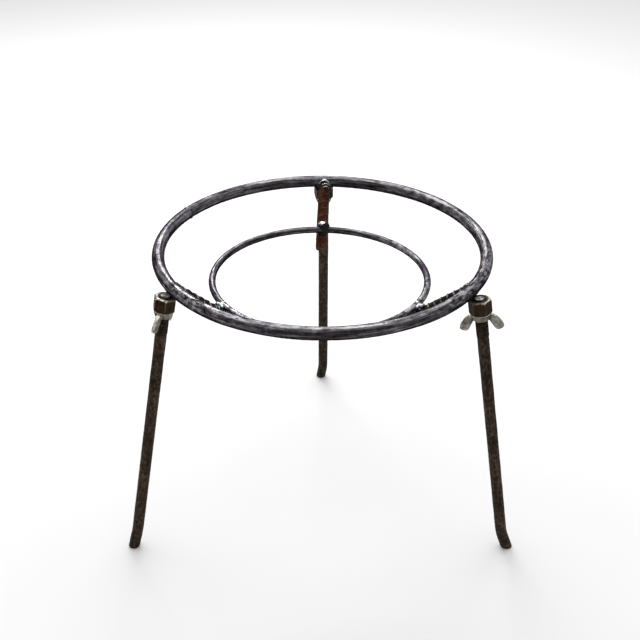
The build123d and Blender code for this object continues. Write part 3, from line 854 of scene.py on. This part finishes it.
def wing_nut_piece(name, d, seed):
    o, x, y, z = leg_frame(d)
    o = o + z * WING_DROP
    shapes = []
    hub = [(6.02, 0.0), (HUB_TOP - 0.5, 0.0), (HUB_TOP, 0.5), (HUB_TOP - 0.4, 2.2), (HUB_END, HUB_H - 0.6), (HUB_END - 0.6, HUB_H), (6.02, HUB_H)]
    shapes.append(revolved(hub))
    line = spline(WING, 6)
    rng = np.random.default_rng(seed)
    for sign in (1.0, -1.0):
        # a slab with the wing's outline, thick at the root and thinner to the tip, very slightly dished
        layers = []
        for t in (-1.0, 1.0):
            s, h = line[:, 0] + rng.normal() * 0.05, line[:, 1]
            half = WING_T / 2 * (1.12 - 0.24 * smooth01((s - 6) / 14)) + 0.12
            bow = 0.30 * np.sin((s - 5) / 15 * math.pi)
            layers.append(np.stack([sign * s, sign * (t * half + bow), h], -1))
        m = len(line)
        v = np.vstack(layers)
        faces = [list(range(m)), list(range(2 * m - 1, m - 1, -1))]
        faces += [[j, m + j, m + (j + 1) % m, (j + 1) % m] for j in range(m)]
        shapes.append((v, faces))
        # metal that fills the corner between wing and hub
        for side in (1.0, -1.0):
            shapes.append(ellipsoid((sign * 8.0, side * 1.7, 3.1), (1.7, 0, 0), (0, 1.5, 0), (0, 0, 2.6)))
    v, no, q, t = remeshed(shapes, 0.27, 5)
    ang = math.atan2(0, 1)
    r = np.hypot(v[:, 0], v[:, 1])
    a = np.arctan2(v[:, 1], v[:, 0])
    bore = r < 6.75
    inner = bore & (v[:, 2] > 0.45) & (v[:, 2] < HUB_H - 0.45)
    # thread in the bore, in step with the rod's
    turn = math.radians(d["wing"])
    prof = thread((v[:, 2] + WING_DROP - ROD_TOP) / PITCH + HAND * (a + turn) / (2 * math.pi), 0.28, 0.26)
    want = 5.12 + (6.06 - 5.12) * prof
    edge = smooth01(np.minimum(v[:, 2] - 0.3, HUB_H - 0.3 - v[:, 2]) / 0.9)
    want = want * edge + 6.25 * (1 - edge)
    k = np.where(bore & (r < 6.4), want / np.maximum(r, 1e-6), 1.0)
    v[:, 0] *= k
    v[:, 1] *= k
    # bearing face stays flat
    r = np.hypot(v[:, 0], v[:, 1])
    face = (v[:, 2] < 0.22) & (r < HUB_TOP - 0.35)
    v[face, 2] = 0.0
    v[:, 2] = np.maximum(v[:, 2], 0.0)
    # cast skin
    skin = (~bore) & (v[:, 2] > 0.3)
    v = v + no * (0.035 * lumps(v, waves(seed, 30, 1.5, 6.0)) * skin)[:, None]
    # painted highlight on rims and crowns, painted shade in corners and on the hub's sides, from how far the normal
    # points along the wing's plane
    rim = np.abs(no[:, 1]) < 0.62
    out = r > 9.6
    wear_and_painted_light = np.where(out & rim, 0.85, 0.0) * smooth01(0.75 + 0.4 * lumps(v, waves(seed + 3, 20, 2.0, 8.0)))
    wear_and_painted_light = np.where((v[:, 2] < 0.6) & (r > HUB_TOP - 1.0) & (r < HUB_TOP + 0.3), 0.9, wear_and_painted_light)
    corner = smooth01(1 - np.abs(r - 8.3) / 1.6) * smooth01((v[:, 2] - 1.2) / 1.0) * (np.abs(v[:, 1]) < 4.2)
    wear_and_painted_light = wear_and_painted_light - 0.45 * corner * (wear_and_painted_light < 0.3) - 0.22 * (r < 9.3) * (v[:, 2] > 0.7) * (wear_and_painted_light < 0.3)
    L = v.copy()
    c, s = math.cos(turn), math.sin(turn)
    X, Y = v[:, 0] * c - v[:, 1] * s, v[:, 0] * s + v[:, 1] * c
    P = o + X[:, None] * x + Y[:, None] * y + v[:, 2:3] * z
    return make(name, P, q, t, bar=L, values={"wear_and_painted_light": wear_and_painted_light}, sharp=60.0)


for key, d in LEG.items():
    ob = wing_nut_piece(f"wing_nut_{key}_casting", d, 400 + len(key))
    place(ob, MAT["zinc"], f"wing_nut_{key}", f"wing_nut_{key}")


# ---------------------------------------------------------------- welds
def bead(path, normals, width, height, step_len, seed, tilt=0.45, jitter=0.12):
    """Overlapping solidified pools along a path: each is a flattened ellipsoid, tipped back on the last one."""
    rng = np.random.default_rng(seed)
    path, normals = np.asarray(path, float), np.asarray(normals, float)
    seg = np.linalg.norm(np.diff(path, axis=0), axis=1)
    cum = np.concatenate([[0], np.cumsum(seg)])
    n = max(2, int(round(cum[-1] / step_len)))
    shapes = []
    for i in range(n + 1):
        s = cum[-1] * i / n
        p = np.array([np.interp(s, cum, path[:, k]) for k in range(3)])
        nn = unit([np.interp(s, cum, normals[:, k]) for k in range(3)])
        s2 = min(s + 0.3, cum[-1])
        s1 = max(s2 - 0.6, 0)
        tt = unit(np.array([np.interp(s2, cum, path[:, k]) for k in range(3)]) - np.array([np.interp(s1, cum, path[:, k]) for k in range(3)]))
        nn = unit(nn - tt * np.dot(nn, tt))
        side = np.cross(tt, nn)
        g = 1 + jitter * rng.normal()
        fwd = unit(tt * math.cos(tilt) - nn * math.sin(tilt))
        upv = unit(nn * math.cos(tilt) + tt * math.sin(tilt))
        p = p + side * jitter * rng.normal() * width * 0.4
        shapes.append(ellipsoid(p, fwd * step_len * 1.55 * g, side * width * g, upv * height * (1 + 0.5 * jitter * rng.normal())))
    return shapes


def weld_piece(name, shapes, seed, clear=None, voxel=0.17, relax=2, crown=None):
    v, no, q, t = remeshed(shapes, voxel, relax)
    v = v + no * (0.045 * lumps(v, waves(seed, 30, 0.8, 3.5)))[:, None]
    for o, z, r, s0, s1 in clear or ():
        # weld metal stays off the rod, which has to turn
        d = v - o
        s = d @ z
        rad = d - s[:, None] * z
        rr = np.linalg.norm(rad, axis=1)
        inside = (rr < r) & (s > s0) & (s < s1)
        v[inside] = o + s[inside, None] * z + rad[inside] / np.maximum(rr[inside, None], 1e-6) * r
    # painted highlight on the crowns and painted shade between them, as the crown function gives it
    w = crown(v, no) if crown is not None else np.full(len(v), 0.5)
    centre = v.mean(0)
    return make(name, v, q, t, bar=v - centre, values={"wear_and_painted_light": w, "heat": 0 * w}, sharp=None)


def torus_hit(o, d, R, r, centre, lo, hi):
    """Distance along a ray at which it leaves the bar of a ring."""
    for _ in range(40):
        m = (lo + hi) / 2
        p = o + d * m - centre
        inside = math.hypot(math.hypot(p[0], p[1]) - R, p[2]) < r
        lo, hi = (m, hi) if inside else (lo, m)
    return (lo + hi) / 2


for key, d in LEG.items():
    out_, tan_ = axes(d["az"])
    up_ = np.array([0, 0, 1.0])
    lo_, lx, ly, lz = leg_frame(d)
    so, sx, sy, sz, rest, length, r_in = spoke_frame(d)
    rod_clear = [(lo_, lz, 6.35, -4.0, 40.0)]
    bar_c = out_ * RING_R + up_ * RING_Z

    def on_bar(theta, across=0.0, lift=0.0):
        """A point on the outer ring's bar: theta from the horizontal inward direction, upwards positive."""
        a = math.radians(theta)
        n = -out_ * math.cos(a) + up_ * math.sin(a)
        return bar_c + tan_ * (across + d["spoke"][0]) + n * (RING_BAR + lift), n

    # fillet round the spoke where it meets the outer bar
    ring_pts, ring_n = [], []
    for k in range(0, 41):
        a = 2 * math.pi * k / 40 + 0.4
        radial = sx * math.cos(a) + sy * math.sin(a)
        s = torus_hit(so + radial * 5.7, sz, RING_R, RING_BAR, up_ * RING_Z, 0.0, 14.0)
        p = so + radial * 6.1 + sz * s
        b = p - up_ * RING_Z
        rho = math.hypot(b[0], b[1])
        nb = unit(np.array([b[0] * (1 - RING_R / rho), b[1] * (1 - RING_R / rho), b[2]]))
        ring_pts.append(p + 0.1 * radial)
        ring_n.append(unit(radial + nb))
    wide, tall = {"back": (1.5, 0.95), "left": (1.0, 0.7), "right": (1.4, 0.9)}[key]
    shapes = bead(ring_pts, ring_n, wide, tall, 1.1, 500 + len(key))
    # heavier passes laid across the top of the joint, from the bar down on to the spoke
    n_up = unit(up_ - sz * np.dot(up_, sz))
    n_side = np.cross(n_up, sz)
    n_side = n_side if np.dot(n_side, tan_) > 0 else -n_side
    passes = {"back": ((2.2, 0.62, -0.24, 1.15, 1.75), (6.0, 0.54, -0.34, 1.05, 1.45), (8.9, 0.44, -0.36, 0.85, 1.0)),
              "left": ((2.6, 0.22, 0.0, 0.9, 0.8), (4.6, 0.22, 0.0, 0.9, 0.7)),
              "right": ((2.0, 0.55, 0.05, 1.1, 1.2), (5.0, 0.45, 0.0, 1.0, 1.0))}[key]
    for i, (s0, spread, off, wid, hei) in enumerate(passes):
        pts, nn = [], []
        for k in range(13):
            u = -1 + 2 * k / 12
            a = off + u * spread
            n = n_up * math.cos(a) + n_side * math.sin(a)
            pts.append(so + sz * (s0 + (1.0 if key == "back" else 1.9) * u * u) + n * 5.85)
            nn.append(n)
        shapes += bead(pts, nn, wid, hei, 1.0, 520 + len(key) + 7 * i, tilt=0.3, jitter=0.08)
    if key == "right":
        # this one runs on along the inner shoulder of the bar
        pts, nn = [], []
        for k in range(13):
            u = k / 12
            p, n = on_bar(52.0 + 4 * u, -4.0 + 12.0 * u, -0.1)
            p = p + (out_ * -((-4.0 + 12.0 * u) ** 2) / (2 * RING_R))
            pts.append(p)
            nn.append(n)
        shapes += bead(pts, nn, 1.7, 0.75, 1.1, 577, tilt=0.3, jitter=0.08)

    def crown(v, no, so=so, sz=sz, key=key):
        # painted highlight on the ridges of the passes where they face up, painted shade in the valleys between them
        off_spoke = v - so
        along = off_spoke @ sz
        lift = np.linalg.norm(off_spoke - along[:, None] * sz, axis=1) - 6.0
        rho = np.hypot(v[:, 0], v[:, 1])
        off_bar = np.hypot(rho - RING_R, v[:, 2] - RING_Z) - RING_BAR
        ridge = smooth01((np.minimum(lift, off_bar + (along > 3.5) * 9.0) - 0.25) / 0.55)
        if key == "right":
            ridge = np.maximum(ridge, 0.8 * smooth01((off_bar - 0.1) / 0.4))
        return (0.08 + 0.92 * ridge) * smooth01(0.1 + 1.2 * no[:, 2]) * {"back": 1.0, "left": 0.45, "right": 0.38}[key]
    ob = weld_piece(f"spoke_outer_weld_{key}_bead", shapes, 540 + len(key), rod_clear, crown=crown)
    place(ob, MAT["weld"], "frame", f"spoke_outer_weld_{key}")

    # inner ring held down on the spoke: a short run on the upslope side and a smaller one below
    t_in = d["spoke"][0] + (d["spoke"][1] - d["spoke"][0]) * rest / length
    c_in = out_ * r_in + up_ * INNER_Z + tan_ * t_in
    contact = so + sz * rest
    nrm = unit(c_in - contact)
    nrm = unit(nrm - sz * np.dot(nrm, sz))
    shapes = []
    for slope, lift, half, wid, hei, seed in ((-3.4, 6.9, 3.9, 2.1, 1.7, 0), (3.0, 6.5, 3.4, 1.5, 1.2, 2)):
        pts, nn = [], []
        for k in range(13):
            u = -1 + 2 * k / 12
            p = so + sz * (rest + slope) + nrm * (lift - (0.9 * u * u if lift < 8 else 0.4 * u * u)) + tan_ * u * half
            pts.append(p)
            nn.append(unit(nrm + np.sign(slope) * 0.8 * sz))
        shapes += bead(pts, nn, wid, hei, 1.25, 560 + len(key) + seed)
    # the last drops, frozen as a lump over the bar
    far, high, across = d["lump"]
    ball = c_in + out_ * far + up_ * high + tan_ * across
    if key == "back":
        drops = ((0, 0, 0, 5.9), (0.3, 1.6, 1.2, 4.6), (-1.9, -1.1, -1.6, 5.0))
    elif key == "left":
        drops = ((-0.6, 0.4, -0.4, 4.1), (0.4, 3.6, 0.2, 2.3), (1.6, -2.6, 0.9, 2.3), (-2.8, -0.6, 0.9, 2.5), (-3.2, -3.2, 0.0, 2.0))
    else:
        drops = ((-0.8, 0.0, -0.8, 3.8), (-2.9, 0.6, 1.7, 2.6), (1.8, -0.8, 0.6, 2.7), (-1.4, -2.8, -0.6, 2.4))
    for a, b, c, r in drops:
        shapes.append(ellipsoid(ball + out_ * a + tan_ * b + up_ * c, out_ * r, tan_ * r * 1.04, up_ * r * 0.92))
    # painted highlight on the lump, lighter where its normal faces this light direction
    light = unit(up_ * 0.8 + tan_ * 0.42 + out_ * 0.05) if key == "back" else unit(up_ * 0.85 - out_ * 0.1 + np.array([0, -0.35, 0]))
    lo_k, hi_k = {"back": (0.66, 0.86), "left": (0.50, 0.98), "right": (0.50, 0.78)}[key]

    def crown2(v, no, n=light, lo=lo_k, hi=hi_k):
        return smooth01((no @ n - lo) / (hi - lo))
    ob = weld_piece(f"spoke_inner_weld_{key}_bead", shapes, 580 + len(key), crown=crown2)
    place(ob, MAT["weld"], "frame", f"spoke_inner_weld_{key}")

    # run that joins the nut to the underside of the outer bar
    shapes = []
    for rr, zz, half, wid, hei, seed in ((-1.2, -7.6, 7.4, 2.6, 2.0, 0), (-3.4, -9.2, 6.6, 2.2, 1.7, 1), (0.8, -7.4, 8.2, 2.2, 1.5, 2)):
        pts, nn = [], []
        for k in range(15):
            u = -1 + 2 * k / 14
            p = out_ * (RING_R + rr) + up_ * (RING_Z + zz + 0.7 * u * u) + tan_ * u * half
            pts.append(p)
            nn.append(unit(-out_ * 0.8 - up_ * 0.6))
        shapes += bead(pts, nn, wid, hei, 1.35, 600 + len(key) + seed)

    # painted highlight: lighter where the bead faces up
    def crown3(v, no):
        return 0.25 + 0.3 * smooth01(no[:, 2])
    ob = weld_piece(f"socket_weld_{key}_bead", shapes, 620 + len(key), rod_clear, voxel=0.2, crown=crown3)
    place(ob, MAT["weld_dark"], "frame", f"socket_weld_{key}")


def butt_bead(name, node, R, r, cx, cz, seam, wid, proud, seed, mat):
    """Bead laid round the bar over the gap between its ends, then dressed nearly flush."""
    a = math.radians(seam)
    out, tan = np.array([math.cos(a), math.sin(a), 0]), np.array([-math.sin(a), math.cos(a), 0])
    c = out * R + np.array([cx, 0, cz])
    pts, nn = [], []
    for k in range(49):
        b = 2 * math.pi * k / 48
        n = out * math.cos(b) + np.array([0, 0, math.sin(b)])
        pts.append(c + n * (r - 0.55))
        nn.append(n)
    shapes = bead(pts, nn, wid, 0.55 + proud, 1.3, seed, tilt=0.25, jitter=0.05)
    # the weld goes right through between the bar's ends
    core = ellipsoid(c, out * r * 0.94, np.array([0, 0, r * 0.94]), tan * 1.7, 28, 14)
    # painted highlight: lighter where the bead faces up
    ob = weld_piece(name, shapes + [core], seed, voxel=0.17, crown=lambda v, no: 0.30 + 0.35 * smooth01(no[:, 2]))
    return place(ob, mat, "frame", node)


butt_bead("outer_ring_butt_weld_bead", "outer_ring_butt_weld", RING_R, RING_BAR, 0.0, RING_Z, 151.0, 2.5, 0.28, 701, MAT["weld_dark"])
butt_bead("inner_ring_butt_weld_bead", "inner_ring_butt_weld", INNER_R, INNER_BAR, INNER_X, INNER_Z, 268.0, 2.1, 0.28, 702, MAT["weld_dark"])

# ---------------------------------------------------------------- floor, light and camera
me = bpy.data.meshes.new("floor")
me.from_pydata([(-6, -6, -0.0002), (6, -6, -0.0002), (6, 6, -0.0002), (-6, 6, -0.0002)], [], [(0, 1, 2, 3)])
floor = bpy.data.objects.new("floor", me)
bpy.context.scene.collection.objects.link(floor)
fm = Tree("pale_floor")
me.materials.append(fm.finish(Base_Color=(0.86, 0.86, 0.86, 1.0), Roughness=0.9, Specular_IOR_Level=0.1))

SKY = (-0.2, 0.9, 0.36, 1.02)
world = bpy.data.worlds.new("studio")
bpy.context.scene.world = world
world.use_nodes = True
# a soft sky, dim in front and brighter behind and above
wn = world.node_tree
back_ = wn.nodes["Background"]
back_.inputs[0].default_value = (1.0, 1.0, 1.0, 1.0)
coord = wn.nodes.new("ShaderNodeTexCoord")
dot = wn.nodes.new("ShaderNodeVectorMath")
dot.operation = "DOT_PRODUCT"
dot.inputs[1].default_value = (0.0, 0.75, 0.66)
wn.links.new(coord.outputs["Generated"], dot.inputs[0])
grade = wn.nodes.new("ShaderNodeMapRange")
grade.interpolation_type = "SMOOTHSTEP"
for k, v in ((1, SKY[0]), (2, SKY[1]), (3, SKY[2]), (4, SKY[3])):
    grade.inputs[k].default_value = v
wn.links.new(dot.outputs["Value"], grade.inputs[0])
wn.links.new(grade.outputs[0], back_.inputs[1])


def area(name, loc, target, size, power, colour=(1, 1, 1)):
    l = bpy.data.lights.new(name, "AREA")
    l.shape = "RECTANGLE"
    l.size, l.size_y = size
    l.energy = power
    l.color = colour
    ob = bpy.data.objects.new(name, l)
    ob.location = loc
    ob.rotation_euler = (Vector(target) - Vector(loc)).to_track_quat("-Z", "Y").to_euler()
    bpy.context.scene.collection.objects.link(ob)
    return ob


area("key_back", (-0.30, 1.45, 1.18), (0, 0, 0.25), (0.8, 0.32), 10.0)
area("top_back", (-0.1, 0.65, 1.85), (0, 0, 0.25), (1.5, 0.9), 13.0)

EL, YAW, ROLL = 30.9102, -0.3547, -0.2614
DIST, AIM_Z, FOCAL_PX, CX = 7.3287 * 156.0, 287.0 - 0.5133753 * 156.0, 1152.735, 322.1
e, yw = math.radians(EL), math.radians(-YAW)
turn = Matrix.Rotation(yw, 4, "Z")
aim = Vector((0, 0, AIM_Z * 0.001))
back = turn @ Vector((0, -math.cos(e), math.sin(e)))
cam = bpy.data.objects.new("camera", bpy.data.cameras.new("camera"))
bpy.context.scene.collection.objects.link(cam)
cam.data.sensor_width = 36.0
cam.data.sensor_fit = "HORIZONTAL"
cam.data.lens = 36.0 * FOCAL_PX / 640.0
cam.data.shift_x = -(CX - 320.0) / 640.0
cam.data.clip_start, cam.data.clip_end = 0.05, 50.0
right = turn @ Vector((1, 0, 0))
upv = back.cross(right)
rot = Matrix((right, upv, back)).transposed().to_4x4()
cam.matrix_world = Matrix.Translation(aim + back * DIST * 0.001) @ rot @ Matrix.Rotation(math.radians(-ROLL), 4, "Z")
bpy.context.scene.camera = cam
bpy.context.scene.view_settings.view_transform = "Standard"
bpy.context.scene.view_settings.look = "None"
bpy.context.scene.view_settings.exposure = 0.0
